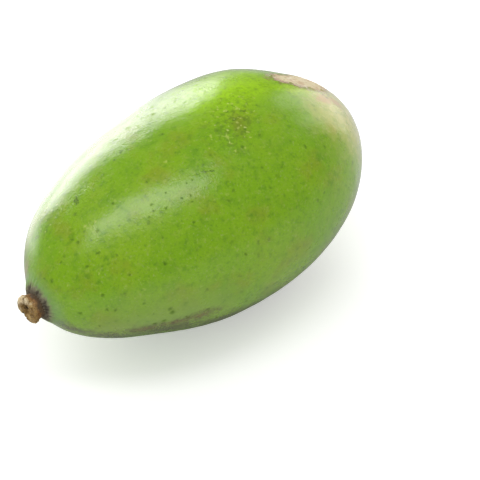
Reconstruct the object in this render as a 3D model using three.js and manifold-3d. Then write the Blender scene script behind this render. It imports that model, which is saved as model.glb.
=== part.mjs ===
// Ambarella (Spondias dulcis): one whole unripe fruit lying on its side, with the
// short woody stub of its stalk still seated in the stem end.
//
// Frame: millimetres, +Z up, lying on the plane z = 0. The long axis runs along X
// with the stem end towards -X. The origin is at the foot of the part's box, in its middle.

import * as THREE from 'three';
import { mergeVertices } from 'three/addons/utils/BufferGeometryUtils.js';
import Module from 'manifold-3d';

const wasm = await Module();
wasm.setup();

// ---------------------------------------------------------------- driving dimensions

// The fruit. t is the place along it, from -1 at the stem end to 1 at the far end.
const LENGTH = 80;
const HALF_WIDTH = 24.4;                    // at the widest girth, side to side
const FLATTENING = 0.9;                     // height over width
const FULLNESS = [1, 0.115, -0.02, -0.06];  // swelling of the outline, as powers of t
const MIDDLE_ASIDE = [0, 0, -0.1, 1.0];     // sideways course of the middle line, powers of t
const MIDDLE_UP = [0, 1.0, 0.55, 0.8];      // upward course of the middle line, powers of t
const LOBES = 3;                            // faint lobes around the girth
const LOBE_HEIGHT = 0.01;                   // their height over the radius
const FLAT_DEPTH = 0.6;                     // how far the underside is flattened where it rests

// Broad swellings and hollows of the flesh: place t, turn from +Y over the top in degrees,
// height (negative for a hollow) and spread.
const SWELLINGS = [
  { t: -0.80, turn: 24, height: 0.65, spread: 7 },
  { t: -0.08, turn: 39, height: -0.3, spread: 12 },
  { t: 0.46, turn: 51, height: 0.4, spread: 9 },
  { t: 0.71, turn: 64, height: -0.5, spread: 6 },
  { t: -0.64, turn: 226, height: -0.6, spread: 10 },
  { t: -0.22, turn: 218, height: 0.4, spread: 10 },
];

// The neck that the skin draws up into around the stalk
const NECK_HEIGHT = 0.8;
const NECK_RADIUS = 2.9;                    // full height out to here
const NECK_WIDTH = 2.1;                     // then it runs out over about this much more

// The stalk stub
const STALK_RADIUS = 2.6;
const STALK_LENGTH = 3.5;                   // from its foot in the seat to the broken end
const STALK_SEAT = 1.0;                     // how much of that is sunk into the fruit
const STALK_ROUNDING = 0.9;                 // round edge of the broken end
const STALK_SWELLING = 0.06;                // its middle is wider by this share
const STALK_OVALITY = 0.9;
const STALK_DIRECTION = new THREE.Vector3(-1, 0.02, -0.02).normalize();
const SEAT_GAP = 0.3;                       // clear space between the stalk and its seat

// Facets
const ALONG_STEPS = 52;
const AROUND_STEPS = 60;
const STALK_AROUND_STEPS = 20;
const STALK_SIDE_STEPS = 5;
const EDGE_STEPS = 3;

// ---------------------------------------------------------------- solids

const powers = (series, t) => series.reduce((sum, k, i) => sum + k * t ** i, 0);

function toSolid(geometry) {
  const bare = geometry.clone();
  bare.deleteAttribute('normal');
  bare.deleteAttribute('uv');
  const welded = mergeVertices(bare, 1e-4);
  return new wasm.Manifold(new wasm.Mesh({
    numProp: 3,
    vertProperties: new Float32Array(welded.attributes.position.array),
    triVerts: new Uint32Array(welded.index.array),
  }));
}

function toGeometry(solid) {
  const { vertProperties, triVerts } = solid.getMesh();
  const geometry = new THREE.BufferGeometry();
  geometry.setAttribute('position', new THREE.BufferAttribute(vertProperties, 3));
  geometry.setIndex(new THREE.BufferAttribute(triVerts, 1));
  geometry.computeVertexNormals();
  return geometry;
}

function eachVertex(geometry, move) {
  const place = geometry.attributes.position;
  const point = new THREE.Vector3();
  for (let i = 0; i < place.count; i++) {
    point.fromBufferAttribute(place, i);
    move(point);
    place.setXYZ(i, point.x, point.y, point.z);
  }
  return geometry;
}

// ---------------------------------------------------------------- fruit

const swell = (t) => Math.sqrt(Math.max(0, 1 - t * t)) * powers(FULLNESS, t);

// Even turns from the stem end, t = -1, to the far end, t = 1.
const STATIONS = Array.from({ length: ALONG_STEPS + 1 }, (_, i) => (
  -Math.cos(Math.PI * i / ALONG_STEPS)
));
const WIDEST = Math.max(...STATIONS.map(swell));

// Radius of the round body at a place along it.
const girthAt = (t) => HALF_WIDTH * swell(t) / WIDEST;

const outline = () => STATIONS.map((t) => new THREE.Vector2(girthAt(t), t * LENGTH / 2));

const bell = (distance, spread) => Math.exp(-((distance / spread) ** 2));

// How much the swellings and hollows add to the radius at a point of the round body.
function swelling(point) {
  return SWELLINGS.reduce((sum, { t, turn, height, spread }) => {
    const angle = THREE.MathUtils.degToRad(turn);
    const radius = girthAt(t);
    const place = new THREE.Vector3(
      t * LENGTH / 2, radius * Math.cos(angle), radius * Math.sin(angle),
    );
    return sum + height * bell(place.distanceTo(point), spread);
  }, 0);
}

// Where a point of the round body lies on the grown fruit.
function grow(point) {
  const t = point.x / (LENGTH / 2);
  const turn = Math.atan2(point.z, point.y);
  const girth = Math.hypot(point.y, point.z);
  const neck = t < 0 ? NECK_HEIGHT * bell(Math.max(girth - NECK_RADIUS, 0), NECK_WIDTH) : 0;
  const offAxis = girth > 0 ? swelling(point) : 0;
  const radius = girth * (1 + LOBE_HEIGHT * Math.sin(LOBES * turn)) + offAxis;
  point.x -= neck;
  point.y = radius * Math.cos(turn) + powers(MIDDLE_ASIDE, t);
  point.z = radius * Math.sin(turn) * FLATTENING + powers(MIDDLE_UP, t);
}

function fruitBody() {
  const round = new THREE.LatheGeometry(outline(), AROUND_STEPS);
  round.rotateZ(-Math.PI / 2);
  return eachVertex(round, grow);
}

// ---------------------------------------------------------------- stalk

// A turned plug, foot on its axis at y = 0, grown outwards by a clearance.
function plug(length, clearance) {
  const radius = (y) => {
    const share = y / STALK_LENGTH;
    return STALK_RADIUS * (1 + STALK_SWELLING * Math.sin(Math.PI * share)) + clearance;
  };
  const points = [new THREE.Vector2(0, 0)];
  const straight = length - STALK_ROUNDING;
  for (let i = 0; i <= STALK_SIDE_STEPS; i++) {
    const y = straight * i / STALK_SIDE_STEPS;
    points.push(new THREE.Vector2(radius(y), y));
  }
  const rim = radius(straight) - STALK_ROUNDING;
  for (let i = 1; i <= EDGE_STEPS; i++) {
    const turn = Math.PI / 2 * i / EDGE_STEPS;
    points.push(new THREE.Vector2(
      rim + STALK_ROUNDING * Math.cos(turn),
      straight + STALK_ROUNDING * Math.sin(turn),
    ));
  }
  points.push(new THREE.Vector2(0, length));
  return new THREE.LatheGeometry(points, STALK_AROUND_STEPS);
}

// Set a plug on the stem end, its foot sunk by a depth below the top of the neck.
function seat(geometry, depth) {
  const top = new THREE.Vector3(-LENGTH / 2, 0, 0);
  grow(top);
  geometry.scale(1, 1, STALK_OVALITY);
  geometry.applyQuaternion(new THREE.Quaternion().setFromUnitVectors(
    new THREE.Vector3(0, 1, 0), STALK_DIRECTION,
  ));
  const foot = top.addScaledVector(STALK_DIRECTION, -depth);
  geometry.translate(foot.x, foot.y, foot.z);
  return geometry;
}

// ---------------------------------------------------------------- assembly

const stalkSolid = toSolid(seat(plug(STALK_LENGTH, 0), STALK_SEAT));
const seatCut = toSolid(seat(plug(STALK_LENGTH + 2 * SEAT_GAP, SEAT_GAP), STALK_SEAT + SEAT_GAP));

const body = fruitBody();
body.computeBoundingBox();
const ground = body.boundingBox.min.z + FLAT_DEPTH;
const under = new THREE.BoxGeometry(LENGTH, LENGTH, LENGTH);
under.translate(0, 0, ground - LENGTH / 2);

const fruitSolid = toSolid(body).subtract(toSolid(under)).subtract(seatCut);

const skin = new THREE.MeshStandardMaterial({ color: 0x7aa02d, roughness: 0.35, metalness: 0 });
const wood = new THREE.MeshStandardMaterial({ color: 0x8a6b45, roughness: 0.9, metalness: 0 });

const fruit = new THREE.Mesh(toGeometry(fruitSolid), skin);
fruit.name = 'fruit';
const stalk = new THREE.Mesh(toGeometry(stalkSolid), wood);
stalk.name = 'stalk_stub';

const ambarella = new THREE.Group();
ambarella.add(fruit, stalk);
const box = new THREE.Box3().setFromObject(ambarella);
const middle = box.getCenter(new THREE.Vector3());
ambarella.position.set(-middle.x, -middle.y, -ground);
ambarella.updateMatrixWorld(true);

export default ambarella;
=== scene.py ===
import math

import bpy
import numpy as np
from mathutils import Matrix, Vector, noise


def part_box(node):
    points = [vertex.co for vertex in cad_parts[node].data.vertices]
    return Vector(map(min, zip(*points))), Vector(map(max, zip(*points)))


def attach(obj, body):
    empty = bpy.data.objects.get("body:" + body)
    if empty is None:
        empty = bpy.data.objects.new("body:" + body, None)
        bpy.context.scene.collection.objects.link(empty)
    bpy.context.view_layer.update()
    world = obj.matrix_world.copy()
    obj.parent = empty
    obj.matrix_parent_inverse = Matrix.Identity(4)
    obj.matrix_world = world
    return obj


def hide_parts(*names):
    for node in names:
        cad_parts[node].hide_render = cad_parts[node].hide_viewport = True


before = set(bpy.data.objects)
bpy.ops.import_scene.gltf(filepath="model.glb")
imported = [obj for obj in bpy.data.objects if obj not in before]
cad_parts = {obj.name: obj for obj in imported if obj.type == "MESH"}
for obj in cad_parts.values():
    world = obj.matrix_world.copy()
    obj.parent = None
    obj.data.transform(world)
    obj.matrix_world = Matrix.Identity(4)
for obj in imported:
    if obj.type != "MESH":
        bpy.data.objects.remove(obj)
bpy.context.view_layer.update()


# ---------------------------------------------------------------- fruit
# One whole ambarella, picked green: firm flesh under a thin waxed skin, grown in one
# piece around its stone. It is egg-shaped, a little skewed, and drawn out into a low neck
# round the stalk, and it lies on a spot that has gone flat under its own weight.

# A place on it is t, from -1 at the stalk to 1 at the far end, and turn, the angle round it
# from +Y over the top.
MM = 0.001
LENGTH = 80 * MM
HALF_WIDTH = 24.4 * MM
FLATTENING = 0.9                        # height over width
FULLNESS = (1, 0.115, -0.02, -0.06)     # swelling of the outline, as powers of t
MIDDLE_ASIDE = (0, 0, -0.1 * MM, 1.0 * MM)          # the bend of its middle line, likewise
MIDDLE_UP = (0, 1.0 * MM, 0.55 * MM, 0.8 * MM)
LOBES = 3
LOBE_HEIGHT = 0.01                      # as a share of the radius
NECK_HEIGHT = 0.8 * MM
NECK_RADIUS = 2.9 * MM
NECK_WIDTH = 2.1 * MM
FLAT_DEPTH = 0.6 * MM
FLAT_EDGE = 0.12 * MM                   # how softly the flat spot runs out

# Broad swellings and hollows: t, turn in degrees, height and spread.
SWELLINGS = (
    (-0.80, 24, 0.65 * MM, 7 * MM),
    (-0.08, 39, -0.3 * MM, 12 * MM),
    (0.46, 51, 0.4 * MM, 9 * MM),
    (0.71, 64, -0.5 * MM, 6 * MM),
    (-0.64, 226, -0.6 * MM, 10 * MM),
    (-0.22, 218, 0.4 * MM, 10 * MM),
)

RINGS = 300                             # of the mesh, closest at the two ends
SPOKES = 318


def powers(series, t):
    return sum(k * t ** i for i, k in enumerate(series))


def bell(distance, spread):
    return np.exp(-(distance / spread) ** 2)


def swell(t):
    return np.sqrt(np.maximum(0, 1 - t * t)) * powers(FULLNESS, t)


OUTLINE_STEPS = 2001
WIDEST = swell(np.linspace(-1, 1, OUTLINE_STEPS)).max()


def girth_at(t):
    return HALF_WIDTH * swell(t) / WIDEST


def round_body(t, turn):
    """A point of the plain round body, before it is grown into the fruit's own form."""
    girth = girth_at(t)
    across, up = girth * np.cos(turn), girth * np.sin(turn)
    return np.stack([t * LENGTH / 2 + 0 * up, across, up], -1)


def grown(t, turn):
    """Where that point lies on the fruit, from the fruit's own middle."""
    point = round_body(t, turn)
    girth = girth_at(t) + 0 * turn
    radius = girth * (1 + LOBE_HEIGHT * np.sin(LOBES * turn))
    for at, angle, height, spread in SWELLINGS:
        centre = round_body(np.array(at), np.array(math.radians(angle)))
        radius = radius + height * bell(np.linalg.norm(point - centre, axis=-1), spread)
    radius = np.where(girth > 1e-9, radius, 0)
    neck = bell(np.maximum(girth - NECK_RADIUS, 0), NECK_WIDTH)
    along = point[..., 0] - np.where(t < 0, NECK_HEIGHT * neck, 0)
    across = radius * np.cos(turn) + powers(MIDDLE_ASIDE, t)
    up = radius * np.sin(turn) * FLATTENING + powers(MIDDLE_UP, t)
    return np.stack([along + 0 * across, across, up], -1)


# The frame says where the fruit lies: its box there is met by the box of a lattice.
LATTICE_RINGS = 241
LATTICE_SPOKES = 240
fruit_low, fruit_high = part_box("fruit")
lattice_t, lattice_turn = np.meshgrid(
    -np.cos(np.linspace(0, math.pi, LATTICE_RINGS)),
    np.linspace(0, 2 * math.pi, LATTICE_SPOKES), indexing="ij")
lattice = grown(lattice_t, lattice_turn)
MIDDLE = np.array([
    fruit_high.x - lattice[..., 0].max(),
    (fruit_high.y + fruit_low.y - lattice[..., 1].max() - lattice[..., 1].min()) / 2,
    fruit_low.z - FLAT_DEPTH - lattice[..., 2].min(),
])


def skin_point(t, turn):
    """A point of the skin in the part's frame, turn in degrees."""
    return grown(np.array(float(t)), np.array(math.radians(turn))) + MIDDLE


SEED_STEP = (3.17, 1.73, 2.39)          # from one noise to the next, so that no two agree


def ripple(points, size, seed):
    """Smooth noise from -1 to 1 over the points, its bumps about one size across."""
    shift = Vector([seed * step for step in SEED_STEP])
    return np.array([noise.noise(Vector(p) / size + shift) for p in points])


def unit(vector):
    return vector / np.linalg.norm(vector)


PATCH_REACH = 7 * MM                    # how deep a patch's field goes below the skin
NEAR_T = 0.02                           # steps that give the ways along and round the skin
NEAR_TURN = 2


def patch(points, t, turn, twist, along, across):
    """How far inside a patch of the skin each point is: 1 in its middle, 0 at its edge.
    It is an ellipse centred at t and turn, its long way twisted off the fruit's length."""
    centre = skin_point(t, turn)
    length = unit(skin_point(t + NEAR_T, turn) - skin_point(t - NEAR_T, turn))
    girth = unit(skin_point(t, turn + NEAR_TURN) - skin_point(t, turn - NEAR_TURN))
    angle = math.radians(twist)
    first = unit(math.cos(angle) * length + math.sin(angle) * girth)
    normal = unit(np.cross(first, unit(math.cos(angle) * girth - math.sin(angle) * length)))
    second = np.cross(normal, first)
    away = points - centre
    return 1 - np.sqrt((away @ first / along) ** 2 + (away @ second / across) ** 2
                       + (away @ normal / PATCH_REACH) ** 2)


# Patches of the skin, each a field that its finish is drawn from: the name, then the t,
# turn, twist and half sizes of the ellipses that make it up. The scar is a healed wound,
# scuff and rust are rubbed places, and the dark band low on the near side is part brown
# stain, part painted shade along the lower edge. The paler, greyer green of the lower
# flank is a painted sheen of the floor's light, the top is sunned and also painted
# brighter as lit, and the pale far end is part ripening, part painted highlight.
PATCHES = {
    "scar": ((0.68, 93, 26, 6.6 * MM, 3.2 * MM), (0.77, 88, -10, 6.2 * MM, 3.6 * MM),
             (0.87, 93, 10, 3.6 * MM, 2.6 * MM)),
    "blush": ((0.69, 114, 10, 3.2 * MM, 1.6 * MM), (0.77, 119, 30, 2.4 * MM, 1.5 * MM)),
    "scuff": ((-0.68, 203, -5, 4.0 * MM, 1.5 * MM), (-0.54, 199, -5, 4.5 * MM, 1.3 * MM),
              (-0.43, 197, -5, 4.0 * MM, 1.5 * MM),
              (0.30, 300, 30, 6 * MM, 1.6 * MM), (-0.35, 10, -20, 5 * MM, 1.2 * MM),
              (0.55, 215, 12, 6 * MM, 1.4 * MM)),
    "rust": ((0.11, 107, -50, 3.6 * MM, 2.0 * MM), (0.45, 20, 15, 5 * MM, 3 * MM),
             (-0.2, 325, 0, 6 * MM, 3 * MM)),
    "speckled": ((0.10, 103, -35, 11 * MM, 6 * MM), (-0.80, 60, 10, 7 * MM, 4 * MM),
                 (-0.05, 350, 20, 12 * MM, 7 * MM), (0.5, 250, 0, 10 * MM, 7 * MM)),
    # the top, yellower from the sun and painted brighter as lit
    "sunny_and_lit": ((0.26, 80, 8, 13 * MM, 8.5 * MM), (0.56, 101, 24, 7 * MM, 2.0 * MM)),
    # part brown stain, part painted shade: a dark band along the lower edge of the near side
    "under": ((-0.95, 215, -4, 6.0 * MM, 2.2 * MM), (-0.80, 217, 0, 7 * MM, 2.6 * MM),
              (-0.55, 209, 0, 9 * MM, 3.4 * MM), (-0.30, 212, 0, 8 * MM, 3.0 * MM),
              (0.3, 243, 0, 24 * MM, 8 * MM)),
    # painted sheen of the floor's light: the lower flank a paler, greyer green
    "lower_flank_sheen": ((-0.60, 194, 0, 17 * MM, 9 * MM), (0.1, 235, 0, 28 * MM, 13 * MM)),
    # the far end, part ripening, part painted highlight
    "pale_end": ((0.82, 124, 0, 13 * MM, 11 * MM),),
    "russet": ((-0.955, 18, 0, 2.2 * MM, 3.8 * MM),),
    "weathered": ((0.0, 70, 5, 12 * MM, 6 * MM), (-0.30, 74, 0, 10 * MM, 5 * MM),
                  (-0.66, 84, 0, 12 * MM, 5 * MM)),
}

# The relief of the skin: how wide its bumps are, and how high.
WAVE_SIZE, WAVE_HEIGHT = 9 * MM, 0.14 * MM
RIPPLE_SIZE, RIPPLE_HEIGHT = 2.6 * MM, 0.04 * MM
CORK_GRAIN, CORK_HEIGHT = 0.9 * MM, 0.06 * MM
CORK_SUNK = 0.10 * MM
SCUFF_GRAIN, SCUFF_HEIGHT = 0.8 * MM, 0.05 * MM

STALK_RADIUS = 2.6 * MM
PUCKERS = 27                            # folds that run out from the stalk
PUCKER_START = 0.5 * MM
PUCKER_WIDTH = 1.6 * MM
PUCKER_HEIGHT = 0.09 * MM
FLOWER_END_WIDTH = 1.7 * MM
FLOWER_END_HEIGHT = 0.35 * MM
DIMPLE_WIDTH = 0.6 * MM
DIMPLE_DEPTH = 0.3 * MM
END_MARGIN = 0.3 * MM                   # how far the dry flower end may pass the frame's box
OUT_OF_REACH = 1.0                      # for the half that an end's own marks never reach


def ringed_mesh(name, points, spokes, fields, inside_out=False):
    """A closed mesh with fields, from the points of its rings and then of its two ends."""
    ring = np.arange(len(points) - 2).reshape(-1, spokes)
    following = np.roll(ring, -1, axis=1)
    faces = np.stack([ring[:-1], ring[1:], following[1:], following[:-1]], -1)
    faces = faces.reshape(-1, 4).tolist()
    faces += [[ring.size, int(a), int(b)] for a, b in zip(ring[0], following[0])]
    faces += [[ring.size + 1, int(b), int(a)] for a, b in zip(ring[-1], following[-1])]
    if inside_out:
        faces = [face[:1] + face[:0:-1] for face in faces]
    mesh = bpy.data.meshes.new(name)
    mesh.from_pydata(points.tolist(), [], faces)
    mesh.shade_smooth()
    for field_name, values in fields.items():
        field = mesh.attributes.new(field_name, "FLOAT", "POINT")
        field.data.foreach_set("value", values.astype(np.float32))
    return mesh


def fruit_mesh():
    t = -np.cos(np.linspace(0, math.pi, RINGS + 1))[1:-1]
    turn = -math.pi / 2 + np.linspace(0, 2 * math.pi, SPOKES, endpoint=False)
    ring_t, ring_turn = np.meshgrid(t, turn, indexing="ij")
    skin = grown(ring_t, ring_turn).reshape(-1, 3)
    ends = np.array([grown(np.array(end), np.array(0.0)) for end in (-1.0, 1.0)])
    points = np.concatenate([skin, ends]) + MIDDLE
    all_t = np.concatenate([ring_t.ravel(), [-1, 1]])
    all_turn = np.concatenate([ring_turn.ravel(), [0, 0]])
    girth = girth_at(all_t)

    fields = {name: np.max([patch(points, *p) for p in parts], axis=0)
              for name, parts in PATCHES.items()}
    fields["stem_reach"] = np.where(all_t < 0, girth, OUT_OF_REACH) / MM
    fields["flower_reach"] = np.where(all_t > 0, girth, OUT_OF_REACH) / MM

    # slow unevenness of a grown skin, square to the middle line
    middle = points * [1, 0, 0] + MIDDLE * [0, 1, 1]
    outwards = points - middle
    outwards /= np.maximum(np.linalg.norm(outwards, axis=1, keepdims=True), 1e-6)
    coarse, fine = ripple(points, WAVE_SIZE, 1), ripple(points, RIPPLE_SIZE, 2)
    uneven = WAVE_HEIGHT * coarse + RIPPLE_HEIGHT * fine
    scar = np.clip(fields["scar"] * 3 + 0.8 * fine, 0, 1)
    uneven += scar * (CORK_HEIGHT * ripple(points, CORK_GRAIN, 3) - CORK_SUNK)
    scuff = np.clip(fields["scuff"] * 2 + 0.8 * fine, 0, 1)
    uneven += scuff * SCUFF_HEIGHT * ripple(points, SCUFF_GRAIN, 4)
    points += outwards * uneven[:, None]

    # puckers that run out from the stalk, and the dry point at the flower end
    folds = np.sin(PUCKERS * all_turn + 5 * coarse + 2 * fine) * (1 + 0.8 * fine)
    folds *= bell(np.maximum(girth - STALK_RADIUS - PUCKER_START, 0), PUCKER_WIDTH)
    points[:, 0] -= np.where(all_t < 0, PUCKER_HEIGHT * folds, 0)
    mound = FLOWER_END_HEIGHT * bell(girth, FLOWER_END_WIDTH)
    mound -= DIMPLE_DEPTH * bell(girth, DIMPLE_WIDTH)
    points[:, 0] += np.where(all_t > 0, mound, 0)
    points[:, 0] = np.minimum(points[:, 0], fruit_high.x + END_MARGIN)

    # the flat spot it lies on
    height = points[:, 2]
    points[:, 2] = (height + np.sqrt(height ** 2 + FLAT_EDGE ** 2)) / 2
    points[:, 2] -= points[:, 2].min()

    return ringed_mesh("fruit_skin", points, SPOKES, fields)


fruit = bpy.data.objects.new("fruit_skin", fruit_mesh())
bpy.context.scene.collection.objects.link(fruit)


def colour(code):
    """A colour as written, #rrggbb in sRGB, as Blender's linear red, green, blue and alpha."""
    parts = [int(code[i:i + 2], 16) / 255 for i in (1, 3, 5)]
    return [c / 12.92 if c <= 0.04045 else ((c + 0.055) / 1.055) ** 2.4 for c in parts] + [1]


def add(tree, kind, sockets=None, **settings):
    """A node with its settings, and its sockets linked to what is given, or set to it."""
    made = tree.nodes.new(kind)
    for name, value in settings.items():
        setattr(made, name, value)
    for name, value in (sockets or {}).items():
        if isinstance(value, bpy.types.NodeSocket):
            tree.links.new(value, made.inputs[name])
        else:
            made.inputs[name].default_value = value
    return made


# Waxed fruit skin, grown: a leaf green that is yellower where the sun reached it, and
# painted brighter on top as lit, dotted with corky breathing pores, and russet where it
# rubbed on a branch. The wax gives the eye a clear, slightly broken mirror of the window
# over it.
skin = bpy.data.materials.new("waxed_green_skin")
skin.use_nodes = True
tree = skin.node_tree
tree.nodes.clear()
place = add(tree, "ShaderNodeTexCoord").outputs["Object"]

# Noises over the skin, each by the size of its bumps in millimetres.
grain = {
    size: add(tree, "ShaderNodeTexNoise", {
        "Vector": place, "Scale": 1 / (size * MM), "Detail": detail, "Roughness": rough,
    }).outputs["Fac"]
    for size, detail, rough in (
        (14, 2, 0.5), (7, 3, 0.6), (4, 3, 0.6), (1.6, 2, 0.6), (1.1, 3, 0.65), (0.45, 2, 0.6))
}

# Noise drawn out into streaks that run from the stalk like the folds there do: it is read
# on a ring round the fruit's axis, which moves on slowly along it.
STREAK_WIDTH = 1.3 * MM
STREAK_RING = 4 * MM
STREAK_STRETCH = 0.5
from_axis = add(tree, "ShaderNodeVectorMath", {
    0: place, 1: (0, -MIDDLE[1], -MIDDLE[2])}, operation="ADD").outputs[0]
ray = add(tree, "ShaderNodeVectorMath", {
    0: from_axis, 1: (0, 1, 1)}, operation="MULTIPLY").outputs[0]
ray = add(tree, "ShaderNodeVectorMath", {0: ray}, operation="NORMALIZE").outputs[0]
ring = add(tree, "ShaderNodeVectorMath", {
    0: ray, "Scale": STREAK_RING}, operation="SCALE").outputs[0]
slow = add(tree, "ShaderNodeVectorMath", {
    0: place, "Scale": STREAK_STRETCH}, operation="SCALE").outputs[0]
streak = add(tree, "ShaderNodeVectorMath", {0: ring, 1: slow}, operation="ADD").outputs[0]
grain["rays"] = add(tree, "ShaderNodeTexNoise", {
    "Vector": streak, "Scale": 1 / STREAK_WIDTH, "Detail": 3, "Roughness": 0.65}).outputs["Fac"]

# How far inside each patch a place lies, as the mesh says.
inside = {
    name: add(tree, "ShaderNodeAttribute", attribute_name=name).outputs["Fac"]
    for name in (*PATCHES, "stem_reach", "flower_reach")
}


def cover(value, low, high, ragged=0.0, size=1.1):
    """How far a coat covers: 0 to 1 as a value goes from low to high. Its edge is as ragged
    as given, broken up by the grain of the given size in millimetres."""
    if ragged:
        value = add(tree, "ShaderNodeMath", {
            0: grain[size], 1: ragged, 2: value}, operation="MULTIPLY_ADD").outputs[0]
        low, high = low + ragged / 2, high + ragged / 2
    return add(tree, "ShaderNodeMapRange", {
        "Value": value, "From Min": low, "From Max": high},
        interpolation_type="SMOOTHSTEP").outputs[0]


# Places on the skin, shaken a little so that no mark is a true circle.
SHAKE_SIZE = 0.7 * MM
SHAKE_REACH = 0.8 * MM
shake = add(tree, "ShaderNodeTexNoise", {
    "Vector": place, "Scale": 1 / SHAKE_SIZE, "Detail": 1, "Roughness": 0.5}).outputs["Color"]
shake = add(tree, "ShaderNodeVectorMath", {
    0: shake, 1: (0.5, 0.5, 0.5)}, operation="SUBTRACT").outputs[0]
shake = add(tree, "ShaderNodeVectorMath", {
    0: shake, "Scale": SHAKE_REACH}, operation="SCALE").outputs[0]
shaken = add(tree, "ShaderNodeVectorMath", {0: place, 1: shake}, operation="ADD").outputs[0]


def pores(cell, radius, share, edge, seed):
    """Dots of 0.5 to 1.2 times the radius, at most one in a cell, both in millimetres: the
    share of the cells that has one, how soft the edge of a dot is, and a seed."""
    moved = add(tree, "ShaderNodeVectorMath", {0: shaken, 1: (seed, seed, seed)}, operation="ADD")
    cells = add(tree, "ShaderNodeTexVoronoi", {
        "Vector": moved.outputs[0], "Scale": 1 / (cell * MM)})
    luck = add(tree, "ShaderNodeSeparateColor", {0: cells.outputs["Color"]})
    has = add(tree, "ShaderNodeMath", {0: luck.outputs[0], 1: share}, operation="LESS_THAN")
    size = add(tree, "ShaderNodeMath", {
        0: luck.outputs[1], 1: 0.7 * radius / cell, 2: 0.5 * radius / cell},
        operation="MULTIPLY_ADD")
    reach = add(tree, "ShaderNodeMath", {
        0: size.outputs[0], 1: cells.outputs["Distance"]}, operation="DIVIDE")
    dot = cover(reach.outputs[0], 1 - edge, 1 + edge)
    return add(tree, "ShaderNodeMath", {0: dot, 1: has.outputs[0]}, operation="MULTIPLY").outputs[0]


def dots(spots, edge):
    """Single dots, each by its t, turn and radius in millimetres."""
    whole = 0.0
    for t, turn, radius in spots:
        away = add(tree, "ShaderNodeVectorMath", {
            0: shaken, 1: tuple(skin_point(t, turn))}, operation="DISTANCE").outputs["Value"]
        one = cover(away, radius * (1 + edge) * MM, radius * (1 - edge) * MM)
        whole = add(tree, "ShaderNodeMath", {0: one, 1: whole}, operation="MAXIMUM").outputs[0]
    return whole


# The larger pores, each with its t, turn and radius in millimetres: dark ones where the
# cork has aged, and pale ones where it is fresh.
DARK_DOTS = (
    (-0.68, 80, 0.52), (-0.69, 82, 0.34), (-0.73, 87, 0.34), (-0.72, 110, 0.30), (-0.80, 105, 0.32),
    (-0.81, 100, 0.30), (-0.89, 106, 0.24), (-0.95, 112, 0.34), (-0.96, 98, 0.24), (-0.77, 123, 0.26),
    (-0.83, 126, 0.24), (-0.83, 155, 0.30), (-0.92, 172, 0.34), (-0.83, 170, 0.28), (-0.80, 172, 0.30),
    (-0.60, 103, 0.30), (-0.48, 118, 0.24), (-0.49, 121, 0.22), (-0.36, 124, 0.23), (-0.32, 125, 0.26),
    (-0.33, 128, 0.22), (-0.52, 123, 0.24), (-0.37, 137, 0.28), (-0.56, 150, 0.34), (-0.71, 147, 0.24),
    (-0.58, 182, 0.42), (-0.57, 186, 0.46), (-0.60, 194, 0.40), (-0.49, 196, 0.36), (-0.33, 207, 0.34),
    (-0.39, 80, 0.34), (-0.44, 81, 0.24), (-0.20, 89, 0.34), (-0.05, 73, 0.26), (-0.43, 106, 0.24),
    (-0.23, 118, 0.23), (-0.27, 119, 0.20), (-0.30, 119, 0.20), (-0.40, 117, 0.20), (-0.44, 124, 0.22),
    (0.12, 98, 0.28), (0.10, 104, 0.24), (0.17, 96, 0.22), (0.03, 118, 0.26), (0.11, 111, 0.24),
    (-0.64, 196, 0.38), (-0.40, 192, 0.30), (-0.69, 172, 0.24), (-0.86, 192, 0.24), (-0.50, 194, 0.22),
)
PALE_DOTS = (
    (-0.88, 82, 0.24), (-0.87, 97, 0.22), (-0.81, 136, 0.22), (-0.92, 131, 0.22), (-0.05, 105, 0.26),
    (0.14, 105, 0.26), (0.01, 110, 0.34), (-0.74, 101, 0.30), (-0.70, 104, 0.24), (-0.30, 103, 0.22),
    (0.25, 93, 0.22), (0.25, 95, 0.18), (0.18, 95, 0.28), (0.17, 99, 0.32), (0.12, 97, 0.26),
    (0.11, 106, 0.28), (0.09, 109, 0.28), (-0.05, 106, 0.20), (0.11, 113, 0.24), (0.04, 119, 0.22),
    (-0.01, 118, 0.24), (0.10, 116, 0.20), (0.00, 114, 0.20), (0.03, 103, 0.18), (0.19, 104, 0.20),
    (-0.01, 97, 0.18), (-0.10, 110, 0.20), (0.07, 94, 0.18), (0.06, 98, 0.18), (0.30, 98, 0.20),
)


def scratches(lines):
    """Short scratches, each by the t and turn of its two ends and its half width in
    millimetres."""
    whole = 0.0
    for t, turn, far_t, far_turn, half_width in lines:
        start, end = skin_point(t, turn), skin_point(far_t, far_turn)
        way = end - start
        from_start = add(tree, "ShaderNodeVectorMath", {
            0: shaken, 1: tuple(start)}, operation="SUBTRACT").outputs[0]
        share = add(tree, "ShaderNodeVectorMath", {
            0: from_start, 1: tuple(way / np.dot(way, way))}, operation="DOT_PRODUCT")
        share = add(tree, "ShaderNodeClamp", {"Value": share.outputs["Value"]}).outputs[0]
        nearest = add(tree, "ShaderNodeVectorMath", {
            0: tuple(way), "Scale": share}, operation="SCALE").outputs[0]
        away = add(tree, "ShaderNodeVectorMath", {
            0: from_start, 1: nearest}, operation="DISTANCE").outputs["Value"]
        one = cover(away, half_width * 1.7 * MM, half_width * 0.3 * MM)
        whole = add(tree, "ShaderNodeMath", {0: one, 1: whole}, operation="MAXIMUM").outputs[0]
    return whole


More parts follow.
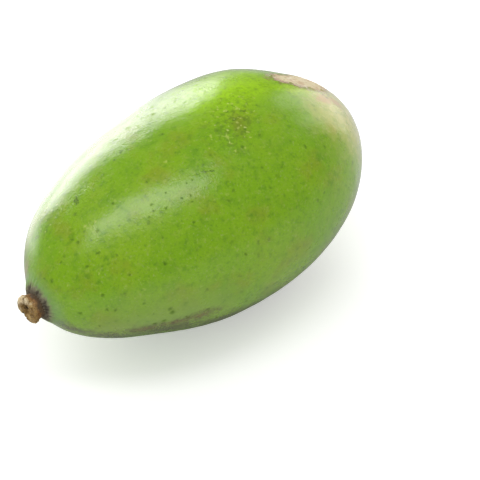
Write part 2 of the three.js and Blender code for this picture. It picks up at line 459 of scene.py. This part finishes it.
DARK_SCRATCHES = (
    (-0.665, 76.5, -0.685, 83.5, 0.11), (-0.685, 78.5, -0.695, 83.5, 0.10),
    (-0.39, 78, -0.36, 82, 0.10), (-0.21, 118, -0.16, 121, 0.13),
    (-0.52, 300, -0.46, 304, 0.12), (0.30, 30, 0.36, 33, 0.12),
)
PALE_SCRATCHES = (
    (-0.72, 101, -0.735, 110, 0.15), (-0.715, 105, -0.735, 114, 0.12), (-0.74, 103, -0.72, 110, 0.10),
    (-0.71, 115, -0.68, 119, 0.11), (-0.01, 108, 0.03, 112, 0.11), (0.02, 108, 0.00, 113, 0.10),
    (0.24, 330, 0.31, 336, 0.14), (-0.45, 20, -0.38, 23, 0.12), (0.52, 190, 0.50, 197, 0.12),
)

# Marks that lie within a patch only: pores and mottling where the skin is speckled, the
# blots, fresh cork and specks of the scar, and the flecks of scuffed skin, of the sunned
# top that is also painted brighter as lit, and of the ripening far end that is also
# painted paler as a highlight.
speckled = cover(inside["speckled"], 0.0, 0.5, 0.8, 4)
on_scar = cover(inside["scar"], -0.04, 0.14, 1.9, 1.6)
scar_edge = cover(inside["scar"], 0.34, 0.04, 0.8, 1.6)
scuffed = cover(inside["scuff"], -0.5, 0.6, 2.2, 1.1)
sunned_and_lit = cover(inside["sunny_and_lit"], -0.6, 0.5, 1.1, 7)
ripe_and_highlit = cover(inside["pale_end"], -0.6, 0.7, 1.2, 4)
dark_dots = dots(DARK_DOTS, 0.8)
bare_pores = pores(4.6, 0.40, 0.35, 0.5, 0.37)
within = {
    name: add(tree, "ShaderNodeMath", {0: mark, 1: area}, operation="MULTIPLY").outputs[0]
    for name, mark, area in (
        ("pale_pores", pores(1.1, 0.20, 0.8, 0.5, 0.91), speckled),
        ("dark_pores", pores(1.7, 0.30, 0.6, 0.5, 0.29), speckled),
        ("mottling", cover(grain[1.1], 0.50, 0.60), speckled),
        ("blots", cover(grain[1.6], 0.52, 0.64), on_scar),
        ("fresh_cork", cover(grain[4], 0.50, 0.40), on_scar),
        ("specks", cover(grain[0.45], 0.45, 0.56), on_scar),
        ("scuff_flecks", cover(grain[0.45], 0.48, 0.60), scuffed),
        ("sunned_flecks", cover(grain[0.45], 0.50, 0.62), sunned_and_lit),
        ("sunned_blots", cover(grain[1.6], 0.52, 0.66), sunned_and_lit),
        ("green_blots", cover(grain[1.6], 0.50, 0.64), ripe_and_highlit),
        ("pale_flecks", cover(grain[1.1], 0.52, 0.64), ripe_and_highlit))
}
within["specks"] = add(tree, "ShaderNodeMath", {
    0: within["specks"], 1: scar_edge}, operation="MULTIPLY").outputs[0]


def painted(tree, ground, coats):
    """A ground colour with coats over it, from the bottom up: each the colour, what it
    covers, and how strongly."""
    paint = colour(ground)
    for code, covered, strength in coats:
        amount = add(tree, "ShaderNodeMath", {
            0: covered, 1: strength}, operation="MULTIPLY").outputs[0]
        paint = add(tree, "ShaderNodeMixRGB", {
            "Fac": amount, "Color1": paint, "Color2": colour(code)}).outputs[0]
    return paint


paint = painted(tree, "#82b312", (
    ("#93bb1a", cover(grain[14], 0.35, 0.7), 0.7),
    ("#70a310", cover(grain[4], 0.48, 0.75), 0.6),
    ("#8f9a26", cover(grain[7], 0.50, 0.70), 0.5),
    ("#a3bd4a", cover(grain[1.1], 0.52, 0.75), 0.45),
    ("#5d9212", cover(grain[1.6], 0.52, 0.75), 0.45),
    ("#56782a", cover(grain[0.45], 0.54, 0.70), 0.32),
    ("#b2bd7a", cover(grain[0.45], 0.42, 0.28), 0.35),
    # painted sheen of the floor's light: a paler, greyer green on the lower flank
    ("#8fae4b", cover(inside["lower_flank_sheen"], -0.2, 0.8, 0.5, 4), 0.7),
    # sunned top, part real colour, part painted light: a brighter, yellower green
    ("#9cd000", sunned_and_lit, 0.7),
    ("#aee200", cover(inside["sunny_and_lit"], -0.1, 0.8, 1.3, 4), 0.85),
    ("#84b608", within["sunned_blots"], 0.45),
    ("#6f9a10", within["sunned_flecks"], 0.3),
    ("#b9c653", cover(inside["flower_reach"], 15, 5, 12, 7), 0.5),
    # far end paler and creamier: part ripening, part painted highlight
    ("#d4cd72", ripe_and_highlit, 0.85),
    ("#9db552", within["green_blots"], 0.5),
    ("#e4dc9a", within["pale_flecks"], 0.4),
    # dark olive band low on the near side: part brown stain, part painted shade along the lower edge
    ("#73793a", cover(inside["under"], -0.4, 0.8, 2.4, 1.6), 0.55),
    ("#575434", cover(inside["under"], 0.0, 0.9, 3.4, 1.1), 0.5),
    ("#45401f", cover(inside["under"], 0.2, 1.0, 3.4, 0.45), 0.3),
    ("#c98f60", cover(inside["blush"], -0.3, 0.7, 1.6, 1.1), 0.6),
    ("#7d7a2c", cover(inside["rust"], -0.4, 0.9, 2.2, 1.1), 0.55),
    ("#4f7018", pores(2.3, 0.34, 0.45, 0.6, 0.11), 0.5),
    ("#3f5612", bare_pores, 0.5),
    ("#5f8b20", pores(1.6, 0.40, 0.5, 0.8, 0.53), 0.4),
    ("#a9c452", pores(2.0, 0.24, 0.45, 0.5, 0.73), 0.5),
    ("#5e8418", within["mottling"], 0.5),
    ("#5a6a1c", within["dark_pores"], 0.6),
    ("#cfe07c", within["pale_pores"], 0.75),
    ("#375a00", dark_dots, 0.6),
    ("#3f560a", scratches(DARK_SCRATCHES), 0.65),
    ("#b4cc5e", scratches(PALE_SCRATCHES), 0.5),
    ("#c3d468", dots(PALE_DOTS, 0.6), 0.6),
    ("#6c6e2c", scuffed, 0.55),
    ("#8c7440", cover(inside["scuff"], 0.3, 0.9, 2.4, 0.45), 0.6),
    ("#433f1c", within["scuff_flecks"], 0.4),
    ("#8a6a3c", cover(inside["scar"], -0.28, 0.06, 2.4, 1.1), 0.6),
    ("#e2d4ac", on_scar, 0.97),
    ("#efe5c8", within["fresh_cork"], 0.7),
    ("#c3a27a", within["blots"], 0.6),
    ("#8f5a3c", within["specks"], 0.75),
    ("#a9a765", cover(inside["russet"], -0.5, 1.0, 2.4, 1.6), 0.35),
    ("#bfb389", cover(inside["russet"], 0.0, 1.0, 3.6, 1.1), 0.5),
    ("#a08c5c", cover(inside["russet"], 0.1, 1.0, 3.6, 0.45), 0.45),
    ("#83a66e", cover(inside["stem_reach"], 7.0, 4.0, 3.0, 4), 0.7),
    ("#94946c", cover(inside["stem_reach"], 4.8, 3.7, 3.0, 1.6), 0.6),
    ("#736e5c", cover(inside["stem_reach"], 4.4, 3.4, 3.0, 1.1), 0.75),
    ("#5a5247", cover(inside["stem_reach"], 4.0, 3.2, 4.4, 1.6), 0.7),
    ("#453c33", cover(inside["stem_reach"], 3.7, 2.9, 3.4, 1.1), 0.6),
    ("#a2987f", cover(inside["stem_reach"], 3.9, 3.1, -7.0, 1.6), 0.35),
    ("#7a6436", cover(inside["flower_reach"], 2.6, 1.3, 2.4, 1.1), 0.8),
    ("#3d3018", cover(inside["flower_reach"], 1.1, 0.6, 0.8, 1.1), 0.8),
))

# The wax is thin or gone on pores, on the scar, round the stalk and on weathered skin.
DRY_DULLNESS = 0.3                      # added to the roughness there
WAX_LOST = 0.85                         # share of the wax that is gone there
gloss = add(tree, "ShaderNodeMapRange", {
    "Value": grain[4], "From Min": 0.3, "From Max": 0.7, "To Min": 0.24, "To Max": 0.34,
}).outputs[0]
worn = cover(inside["weathered"], -0.2, 0.6, 0.8, 4)
dry = add(tree, "ShaderNodeMath", {
    0: worn, 1: cover(grain[1.1], 0.54, 0.70)}, operation="MULTIPLY").outputs[0]
for bare in (dark_dots, bare_pores, cover(inside["scar"], -0.1, 0.2, 0.8),
             cover(inside["stem_reach"], 5.4, 4.0, 3.0, "rays")):
    dry = add(tree, "ShaderNodeMath", {0: dry, 1: bare}, operation="MAXIMUM").outputs[0]
rough = add(tree, "ShaderNodeMath", {
    0: dry, 1: DRY_DULLNESS, 2: gloss}, operation="MULTIPLY_ADD").outputs[0]
waxed = add(tree, "ShaderNodeMath", {
    0: dry, 1: -WAX_LOST, 2: 1.0}, operation="MULTIPLY_ADD").outputs[0]

# Fine relief of two grains, at its full height on weathered skin and lower elsewhere.
FINE_TO_COARSE = 1.7
SMOOTH_RELIEF = 0.4
relief = add(tree, "ShaderNodeMath", {
    0: grain[0.45], 1: FINE_TO_COARSE, 2: grain[1.1]}, operation="MULTIPLY_ADD").outputs[0]
height = add(tree, "ShaderNodeMath", {
    0: worn, 1: 1 - SMOOTH_RELIEF, 2: SMOOTH_RELIEF}, operation="MULTIPLY_ADD").outputs[0]
relief = add(tree, "ShaderNodeMath", {0: relief, 1: height}, operation="MULTIPLY").outputs[0]
bump = add(tree, "ShaderNodeBump", {
    "Height": relief, "Strength": 0.5, "Distance": 0.1 * MM}).outputs[0]
surface = add(tree, "ShaderNodeBsdfPrincipled", {
    "Base Color": paint, "Roughness": rough, "Normal": bump, "IOR": 1.45, "Specular IOR Level": 0.25,
    "Coat Weight": waxed, "Coat Roughness": 0.17, "Coat Normal": bump})
add(tree, "ShaderNodeOutputMaterial", {"Surface": surface.outputs["BSDF"]})
fruit.data.materials.append(skin)
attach(fruit, "root")
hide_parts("fruit")


# ---------------------------------------------------------------- stalk stub
# What is left of the stalk: a short plug of dry, corky wood that snapped off the tree.
# Its end is torn and pitted, with a painted highlight on one side of its rim, and it sits in
# the neck of the fruit.

ROOT = skin_point(-1, 0)
STALK_SEAT = 1.0 * MM                   # how far it starts below the skin
STALK_AXIS = unit(np.array([-1, 0.02, -0.02]))
STALK_SIDE = unit(np.cross(STALK_AXIS, [0, 0, 1]))
STALK_UP = np.cross(STALK_SIDE, STALK_AXIS)
STALK_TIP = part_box("stalk_stub")[0].x
STALK_LENGTH = ROOT[0] + STALK_SEAT - STALK_TIP
STALK_OVALITY = 0.9
STALK_ROUNDING = 1.0 * MM
STALK_SPOKES = 200
FOOT_RINGS, WALL_RINGS, ROUNDING_RINGS, FACE_RINGS = 8, 50, 15, 32

# Its relief: lumps, fibres that run along it, and crumbs, with a low ring near the end.
LUMP_SIZE, LUMP_HEIGHT = 1.7 * MM, 0.45 * MM
FIBRE_SIZE, FIBRE_HEIGHT = 0.5 * MM, 0.18 * MM
FIBRE_STRETCH = 4
CRUMB_SIZE, FINE_CRUMB_SIZE, CRUMB_HEIGHT = 0.55 * MM, 0.25 * MM, 0.22 * MM
RING_WIDTH, RING_HEIGHT = 1.0 * MM, 0.22 * MM
LOBE_SWELLING = 0.12 * MM

# Its torn end, with a split, and a hollow where the pith has dropped out.
TORN_REACH = 1.8 * MM                   # how far from the end the tear goes
SPLIT_TURN = math.radians(300)          # from STALK_SIDE over the top
SPLIT_WIDTH, SPLIT_NOTCH, SPLIT_DEPTH = 0.35 * MM, 0.3 * MM, 0.2 * MM
HOLLOW_ASIDE, HOLLOW_UP = -0.4 * MM, 1.0 * MM
HOLLOW_WIDTH, HOLLOW_DEPTH = 0.9 * MM, 0.9 * MM
LUMP_DEPTH, LOBE_DEPTH = 0.3 * MM, 0.15 * MM
# the side of the torn rim that carries the painted highlight, from STALK_SIDE over the top
HIGHLIGHT_RIM_TURN = math.radians(35)


def stalk_mesh():
    """A plug with a torn end, turned from an outline and then roughened."""
    foot = np.linspace(0, STALK_RADIUS, FOOT_RINGS + 2)[1:-1]
    wall = np.linspace(0, STALK_LENGTH - STALK_ROUNDING, WALL_RINGS)
    arc = np.linspace(0, math.pi / 2, ROUNDING_RINGS + 1)[1:]
    face = np.linspace(STALK_RADIUS - STALK_ROUNDING, 0, FACE_RINGS + 2)[1:-1]
    along = np.concatenate([
        np.zeros(FOOT_RINGS), wall, wall[-1] + STALK_ROUNDING * np.sin(arc),
        np.full(FACE_RINGS, STALK_LENGTH)])
    radius = np.concatenate([
        foot, np.full(WALL_RINGS, STALK_RADIUS),
        STALK_RADIUS - STALK_ROUNDING * (1 - np.cos(arc)), face])
    angle = np.linspace(0, 2 * math.pi, STALK_SPOKES, endpoint=False)
    ring_along, ring_angle = np.meshgrid(along, angle, indexing="ij")
    ring_radius, _ = np.meshgrid(radius, angle, indexing="ij")
    a = np.append(ring_along.ravel(), [0, STALK_LENGTH])
    r = np.append(ring_radius.ravel(), [0, 0])
    g = np.append(ring_angle.ravel(), [0, 0])

    def turned(a, r):
        aside, up = r * np.cos(g), r * np.sin(g) * STALK_OVALITY
        return np.outer(a, STALK_AXIS) + np.outer(aside, STALK_SIDE) + np.outer(up, STALK_UP)

    plain = turned(a, r)
    lumps = ripple(plain, LUMP_SIZE, 5)
    fibres = ripple(turned(a / FIBRE_STRETCH, r), FIBRE_SIZE, 6)
    crumbs = ripple(plain, CRUMB_SIZE, 7) + 0.6 * ripple(plain, FINE_CRUMB_SIZE, 8)
    near_end = 1 - np.clip((STALK_LENGTH - a) / TORN_REACH, 0, 1)
    shown = np.clip((a - STALK_SEAT) / MM, 0, 1)
    side = r / STALK_RADIUS
    off_hollow = np.hypot(r * np.cos(g) - HOLLOW_ASIDE, r * np.sin(g) - HOLLOW_UP)
    pith = bell(off_hollow, HOLLOW_WIDTH) * (0.8 + 0.6 * fibres)
    split = bell(np.sin((g - SPLIT_TURN) / 2) * 2 * r, SPLIT_WIDTH) * np.clip(r / MM, 0, 1)
    lobes = 0.5 * np.cos(2 * g - 0.6) + 0.5 * np.cos(3 * g + 1.1)
    ring = bell(a - 0.8 * STALK_LENGTH, RING_WIDTH)
    rough = FIBRE_HEIGHT * fibres + CRUMB_HEIGHT * crumbs
    r = r + shown * (LUMP_HEIGHT * lumps + rough) * side
    r = r + shown * (RING_HEIGHT * ring + LOBE_SWELLING * lobes) * side
    r = r - near_end * SPLIT_NOTCH * split
    sunk = near_end * (HOLLOW_DEPTH * pith + SPLIT_DEPTH * split + LUMP_DEPTH * np.abs(lumps)
                       + rough + LOBE_DEPTH * (1 - lobes) * side)
    a = a - np.maximum(sunk, 0)
    points = ROOT - STALK_AXIS * STALK_SEAT + turned(a, np.maximum(r, 0))
    points[:, 0] = np.maximum(points[:, 0], STALK_TIP)
    fields = {
        # the hollow, the split and the low places of the relief, painted dark as shade
        "pit": near_end * (pith + split) - 0.45 * crumbs - 0.5 * fibres - 0.3 * lumps,
        "height": a / STALK_LENGTH,
        # painted highlight: the torn rim on one side, where the light would catch it
        "rim": near_end * np.clip(side, 0, 1) ** 2 * np.clip(0.3 + np.cos(g - HIGHLIGHT_RIM_TURN), 0, 1),
    }
    return ringed_mesh("stalk_wood", points, STALK_SPOKES, fields, inside_out=True)


stalk = bpy.data.objects.new("stalk_wood", stalk_mesh())
bpy.context.scene.collection.objects.link(stalk)

# Dead, corky bark and wood, torn across. It has no gloss at all, and goes from cream
# where fresh wood shows to nearly black in the pits; the dark in the pits and low places,
# and towards the foot, is painted shade, and the palest cream on one side of the torn rim
# is a painted highlight.
wood = bpy.data.materials.new("torn_corky_wood")
wood.use_nodes = True
tree = wood.node_tree
tree.nodes.clear()
place = add(tree, "ShaderNodeTexCoord").outputs["Object"]
grain = {
    size: add(tree, "ShaderNodeTexNoise", {
        "Vector": place, "Scale": 1 / (size * MM), "Detail": 3, "Roughness": 0.65}).outputs["Fac"]
    for size in (2.2, 1.1, 0.6, 0.35)
}
inside = {
    name: add(tree, "ShaderNodeAttribute", attribute_name=name).outputs["Fac"]
    for name in ("pit", "height", "rim")
}
paint = painted(tree, "#c6a96e", (
    ("#927039", cover(grain[2.2], 0.42, 0.58), 0.8),
    ("#c9a878", cover(grain[1.1], 0.50, 0.64), 0.7),
    ("#5e4420", cover(grain[0.6], 0.54, 0.66), 0.7),
    # painted shade: redder and darker towards the foot
    ("#86532e", cover(inside["height"], 0.72, 0.5, 0.8, 1.1), 0.6),
    # painted highlight: pale cream on one side of the torn rim
    ("#efdcb4", cover(inside["rim"], 0.15, 0.6, 1.5, 0.6), 0.9),
    # painted shade: dark brown to nearly black in the pits and low places
    ("#6b4f1c", cover(inside["pit"], -0.1, 0.5, 1.5, 1.1), 0.85),
    ("#33240f", cover(inside["pit"], 0.5, 1.0, 1.6, 0.35), 0.85),
    ("#3f342a", cover(grain[0.35], 0.56, 0.68), 0.5),
    # painted shade: nearly black at the foot, where the stalk meets the fruit
    ("#4a4032", cover(inside["height"], 0.50, 0.32, 0.6, 1.1), 0.8),
))
bump = add(tree, "ShaderNodeBump", {
    "Height": grain[0.35], "Strength": 0.7, "Distance": 0.15 * MM}).outputs[0]
surface = add(tree, "ShaderNodeBsdfPrincipled", {
    "Base Color": paint, "Roughness": 0.85, "Normal": bump, "IOR": 1.45})
add(tree, "ShaderNodeOutputMaterial", {"Surface": surface.outputs["BSDF"]})
stalk.data.materials.append(wood)
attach(stalk, "root")
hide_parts("stalk_stub")


# ---------------------------------------------------------------- floor, light and camera
# A sheet of white paper on a table by a window. The window is a broad soft lamp behind the
# fruit, with one over it and a weak one at its far end; the air round it is white.

HALF_FLOOR = 3.0                        # in metres
corners = [(x * HALF_FLOOR, y * HALF_FLOOR, 0) for x, y in ((-1, -1), (1, -1), (1, 1), (-1, 1))]
floor_mesh = bpy.data.meshes.new("floor")
floor_mesh.from_pydata(corners, [], [(0, 1, 2, 3)])
floor = bpy.data.objects.new("floor", floor_mesh)
bpy.context.scene.collection.objects.link(floor)

# In the fruit's gloss, paper and air are white on the bright sides, like the background
# that the camera sees, and dimmer on the side of the room. Each side has its compass in
# degrees from +X, how far off it the white begins to fade and is gone, and its strength:
# the window behind, and the table's open end.
BRIGHT_SIDES = ((90, 19, 37, 1.0), (6, 10, 30, 0.2))


def brightness(tree, way):
    """How far a way looks at a bright side, from 0 to 1."""
    whole = 0.0
    for compass, fades, gone, strength in BRIGHT_SIDES:
        side = (math.cos(math.radians(compass)), math.sin(math.radians(compass)), 0)
        facing = add(tree, "ShaderNodeVectorMath", {0: way, 1: side}, operation="DOT_PRODUCT")
        one = add(tree, "ShaderNodeMapRange", {
            "Value": facing.outputs["Value"], "From Min": math.cos(math.radians(gone)),
            "From Max": math.cos(math.radians(fades)), "To Max": strength},
            interpolation_type="SMOOTHSTEP")
        whole = add(tree, "ShaderNodeMath", {
            0: one.outputs[0], 1: whole}, operation="MAXIMUM").outputs[0]
    return whole


# White paper, pressed. It is matt and even, and gives the eye plain white wherever the
# fruit's shadow doesn't fall.
DIM_UP_TO = 30 * MM                     # how far out the gloss shows it dim on all sides
WHITE_FROM = 90 * MM                    # and from where it is at its whitest
WINDOW_GLOW = 0.75                      # how much that white adds to the lamps' light
LAMPS_FADE, LAMPS_END = 0.25, 1.2       # how far out, in metres, the lamps' light falls off
NEAR_GLOW, FAR_GLOW = 0.38, 0.5         # its glow to the camera, which makes up for that
paper = bpy.data.materials.new("white_paper")
paper.use_nodes = True
tree = paper.node_tree
tree.nodes.clear()
path = add(tree, "ShaderNodeLightPath")
way = add(tree, "ShaderNodeTexCoord").outputs["Object"]
off = add(tree, "ShaderNodeVectorMath", {0: way}, operation="LENGTH").outputs["Value"]
way = add(tree, "ShaderNodeVectorMath", {0: way}, operation="NORMALIZE").outputs[0]
lit = brightness(tree, way)
clear = add(tree, "ShaderNodeMapRange", {
    "Value": off, "From Min": DIM_UP_TO, "From Max": WHITE_FROM}, interpolation_type="SMOOTHSTEP")
lit = add(tree, "ShaderNodeMath", {0: lit, 1: clear.outputs[0]}, operation="MULTIPLY").outputs[0]
tint = add(tree, "ShaderNodeMixRGB", {
    "Fac": lit, "Color1": colour("#b4b4b4"), "Color2": colour("#ffffff")})
matt = add(tree, "ShaderNodeBsdfDiffuse", {"Color": colour("#f2f2f2")})
glow = add(tree, "ShaderNodeMapRange", {
    "Value": off, "From Min": LAMPS_FADE, "From Max": LAMPS_END,
    "To Min": NEAR_GLOW, "To Max": FAR_GLOW})
glow = add(tree, "ShaderNodeEmission", {"Color": colour("#ffffff"), "Strength": glow.outputs[0]})
both = add(tree, "ShaderNodeAddShader", {0: matt.outputs[0], 1: glow.outputs[0]})
mirrored = add(tree, "ShaderNodeBsdfDiffuse", {"Color": tint.outputs[0]})
shine = add(tree, "ShaderNodeMath", {0: lit, 1: WINDOW_GLOW}, operation="MULTIPLY")
shine = add(tree, "ShaderNodeEmission", {"Color": colour("#ffffff"), "Strength": shine.outputs[0]})
mirrored = add(tree, "ShaderNodeAddShader", {0: mirrored.outputs[0], 1: shine.outputs[0]})
pick = add(tree, "ShaderNodeMixShader", {
    0: path.outputs["Is Glossy Ray"], 1: matt.outputs[0], 2: mirrored.outputs[0]})
pick = add(tree, "ShaderNodeMixShader", {
    0: path.outputs["Is Camera Ray"], 1: pick.outputs[0], 2: both.outputs[0]})
add(tree, "ShaderNodeOutputMaterial", {"Surface": pick.outputs[0]})
floor_mesh.materials.append(paper)

# The air is white to the camera, and lights all sides evenly. In the fruit's gloss it is a
# dim room, paler low down, and palest there on the bright sides.
AIR_GLOW = 0.61
ROOM_GLOW = 0.08
LOW_GLOW, BRIGHT_SIDE_GLOW = 0.25, 0.67
LOW_UP_TO = 0.16                        # the sine of the rise at which low down ends
world = bpy.data.worlds.new("studio")
bpy.context.scene.world = world
world.use_nodes = True
tree = world.node_tree
tree.nodes.clear()
path = add(tree, "ShaderNodeLightPath")
seen = add(tree, "ShaderNodeMath", {
    0: path.outputs["Is Camera Ray"], 1: path.outputs["Is Transmission Ray"]},
    operation="MAXIMUM")
way = add(tree, "ShaderNodeTexCoord").outputs["Generated"]
height = add(tree, "ShaderNodeSeparateXYZ", {0: way}).outputs["Z"]
low_down = add(tree, "ShaderNodeMapRange", {
    "Value": height, "From Min": LOW_UP_TO, "From Max": 0.0},
    interpolation_type="SMOOTHSTEP").outputs[0]
bright = add(tree, "ShaderNodeMath", {
    0: brightness(tree, way), 1: BRIGHT_SIDE_GLOW, 2: LOW_GLOW},
    operation="MULTIPLY_ADD").outputs[0]
wall = add(tree, "ShaderNodeMath", {
    0: low_down, 1: bright, 2: ROOM_GLOW}, operation="MULTIPLY_ADD").outputs[0]
white = add(tree, "ShaderNodeBackground", {"Color": colour("#ffffff"), "Strength": 1.0})
room = add(tree, "ShaderNodeBackground", {"Color": colour("#ffffff"), "Strength": wall})
air = add(tree, "ShaderNodeBackground", {"Color": colour("#ffffff"), "Strength": AIR_GLOW})
pick = add(tree, "ShaderNodeMixShader", {
    0: path.outputs["Is Glossy Ray"], 1: air.outputs[0], 2: room.outputs[0]})
pick = add(tree, "ShaderNodeMixShader", {
    0: seen.outputs[0], 1: pick.outputs[0], 2: white.outputs[0]})
add(tree, "ShaderNodeOutputWorld", {"Surface": pick.outputs[0]})


FRUIT_HEART = Vector((0, 0, 22 * MM))   # what the lamps look at


def softbox(name, compass, rise, distance, width, height, glow, twist=0.0, tint=(1, 1, 1)):
    """A flat lamp that looks at the fruit: the way to it in degrees from +X and from the
    floor, its distance and size in metres, its glow, where 1 is white, its twist and tint."""
    lamp = bpy.data.lights.new(name, "AREA")
    lamp.shape = "RECTANGLE"
    lamp.size, lamp.size_y = width, height
    lamp.energy = glow * math.pi * width * height
    lamp.color = tint
    holder = bpy.data.objects.new(name, lamp)
    side, up = math.radians(compass), math.radians(rise)
    out = Vector((math.cos(side) * math.cos(up), math.sin(side) * math.cos(up), math.sin(up)))
    holder.rotation_euler = (out.to_track_quat("Z", "Y").to_matrix()
                             @ Matrix.Rotation(math.radians(twist), 3, "Z")).to_euler()
    holder.location = FRUIT_HEART + out * distance
    bpy.context.scene.collection.objects.link(holder)


# The window and the lamp overhead each have a wider, weaker one round them, so that their
# edges are soft in the gloss.
softbox("back_softbox", 77, 14, 0.6, 0.52, 0.30, 3.15, -16, (1, 0.92, 1))
softbox("back_spill", 82, 15, 0.62, 0.60, 0.46, 0.24)
softbox("overhead_softbox", 187.8, 77.2, 0.6, 0.19, 0.54, 2.55, -46)
softbox("overhead_spill", 186, 75.5, 0.62, 0.38, 0.72, 0.45, -46)
softbox("side_softbox", 11, 15, 0.6, 0.32, 0.42, 1.3, 0, (1, 0.97, 0.9))

# The camera looks down at the near side, its stalk to the left, through a long lens.
TURN = math.radians(-42.7)
RISE = math.radians(40)
AIM = Vector((3.91, -9.69, 16.67)) * MM
REACH = 227.3 * MM
back = Vector((math.sin(TURN) * math.cos(RISE), -math.cos(TURN) * math.cos(RISE), math.sin(RISE)))
lens = bpy.data.cameras.new("camera")
lens.lens = 85
lens.sensor_width = 36
lens.clip_start = 0.01
camera = bpy.data.objects.new("camera", lens)
camera.location = AIM + back * REACH
camera.rotation_euler = back.to_track_quat("Z", "Y").to_euler()
bpy.context.scene.collection.objects.link(camera)
bpy.context.scene.camera = camera
bpy.context.scene.view_settings.view_transform = "Standard"
